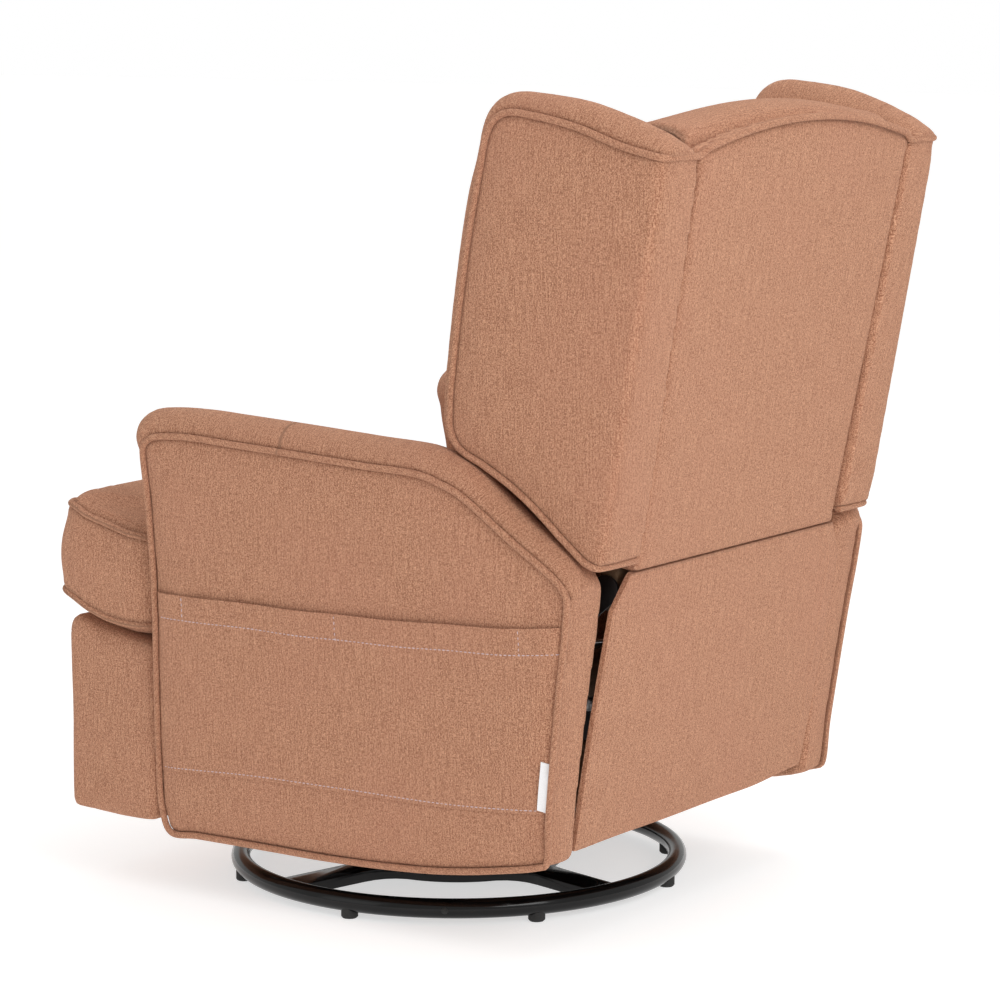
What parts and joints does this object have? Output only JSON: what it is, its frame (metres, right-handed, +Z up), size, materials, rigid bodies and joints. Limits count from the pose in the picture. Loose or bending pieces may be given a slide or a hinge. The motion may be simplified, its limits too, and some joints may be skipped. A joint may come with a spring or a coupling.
{
  "type": "swivel glider recliner",
  "caption": "Wing-back swivel glider recliner: padded arms with side pockets, T seat cushion, fold-out footrest, reclining back, ring base.",
  "frame": {"origin": "middle of the bounding box, on the floor under the feet", "axes": "+Z up, -Y towards the front of the seat, +X to the sitter's left"},
  "size_m": [0.7282, 0.9466, 1.0477],
  "materials": {
    "gloss_black": "gloss black enamel",
    "rubber_foot": "matt black rubber",
    "dark_steel": "satin dark steel",
    "zinc": "zinc-plated steel",
    "timber": "raw plywood and softwood",
    "upholstery": "slubbed woven chenille",
    "webbing": "woven strap",
    "tag_white": "blank woven tag"
  },
  "bodies": {
    "base": {"base_ring": "gloss_black", "base_cross": "gloss_black", "base_foot_1": "rubber_foot", "base_foot_2": "rubber_foot", "base_foot_3": "rubber_foot", "base_foot_4": "rubber_foot", "base_foot_5": "rubber_foot", "base_foot_6": "rubber_foot", "base_foot_7": "rubber_foot", "base_foot_8": "rubber_foot", "swivel_race_lower": "dark_steel", "pivot_bolt": "zinc", "pivot_nut": "zinc"},
    "turntable": {"swivel_race_upper": "dark_steel", "turntable_frame": "gloss_black", "glider_upright_left": "dark_steel", "glider_upright_right": "dark_steel"},
    "glide_links_front": {"glider_link_front_left": "zinc", "glider_link_front_right": "zinc"},
    "glide_links_rear": {"glider_link_rear_left": "zinc", "glider_link_rear_right": "zinc"},
    "seat": {"glider_rail_left": "gloss_black", "glider_rail_right": "gloss_black", "chassis_tube_front": "gloss_black", "chassis_tube_rear": "gloss_black", "mechanism_plate_left": "dark_steel", "mechanism_plate_right": "dark_steel", "base_rail_left": "timber", "base_rail_right": "timber", "base_rail_rear": "timber", "seat_box": "timber", "seat_spring_1": "zinc", "seat_spring_2": "zinc", "seat_spring_3": "zinc", "seat_spring_4": "zinc", "seat_cushion": "upholstery", "arm_left": "upholstery", "arm_right": "upholstery", "side_pocket_left": "upholstery", "side_pocket_right": "upholstery", "sewn_tag": "tag_white", "back_skirt": "upholstery"},
    "back": {"back_board": "timber", "back_panel": "upholstery", "back_cushion": "upholstery", "wing_left": "upholstery", "wing_right": "upholstery", "back_bracket_left": "dark_steel", "back_bracket_right": "dark_steel"},
    "footrest_links_rear": {"footrest_link_rear_left": "zinc", "footrest_link_rear_right": "zinc", "footrest_drive_tube": "gloss_black"},
    "footrest_links_front": {"footrest_link_front_left": "zinc", "footrest_link_front_right": "zinc"},
    "footrest": {"footrest_board": "timber", "footrest_pad": "upholstery", "footrest_bracket_left": "dark_steel", "footrest_bracket_right": "dark_steel"},
    "release": {"release_strap": "webbing"}
  },
  "joints": [
    {"name": "swivel", "type": "hinge", "parent": "base", "child": "turntable", "pos_m": [0, -0.06127, 0.038], "axis": [0, 0, 1], "continuous": true},
    {"name": "glide", "type": "hinge", "parent": "turntable", "child": "glide_links_front", "pos_m": [0, -0.16127, 0.205], "axis": [1, 0, 0], "range_deg": [-22, 22]},
    {"name": "seat_level", "type": "hinge", "parent": "glide_links_front", "child": "seat", "pos_m": [0, -0.16127, 0.095], "axis": [1, 0, 0], "range_deg": [-22, 22]},
    {"name": "rear_link_swing", "type": "hinge", "parent": "turntable", "child": "glide_links_rear", "pos_m": [0, 0.03873, 0.205], "axis": [1, 0, 0], "range_deg": [-22, 22]},
    {"name": "back_recline", "type": "hinge", "parent": "seat", "child": "back", "pos_m": [0, 0.25873, 0.39], "axis": [-1, 0, 0], "range_deg": [0, 32], "deforming": ["back_skirt"]},
    {"name": "footrest_open", "type": "hinge", "parent": "seat", "child": "footrest_links_rear", "pos_m": [0, -0.21827, 0.325], "axis": [-1, 0, 0], "range_deg": [0, 65]},
    {"name": "footrest_elbow", "type": "hinge", "parent": "footrest_links_rear", "child": "footrest_links_front", "pos_m": [0, -0.24074, 0.11118], "axis": [-1, 0, 0], "range_deg": [-130, 0]},
    {"name": "footrest_turn", "type": "hinge", "parent": "footrest_links_front", "child": "footrest", "pos_m": [0, -0.29275, 0.31979], "axis": [-1, 0, 0], "range_deg": [0, 155]},
    {"name": "release_pull", "type": "slide", "parent": "seat", "child": "release", "axis": [0, 0, 1], "range_m": [0, 0.02], "stiffness_N_per_m": 150}
  ],
  "couplings": [
    {"joint": "seat_level", "follows": "glide", "ratio": -1},
    {"joint": "rear_link_swing", "follows": "glide", "ratio": 1},
    {"joint": "footrest_elbow", "follows": "footrest_open", "ratio": -2},
    {"joint": "footrest_turn", "follows": "footrest_open", "ratio": 2.3846}
  ]
}
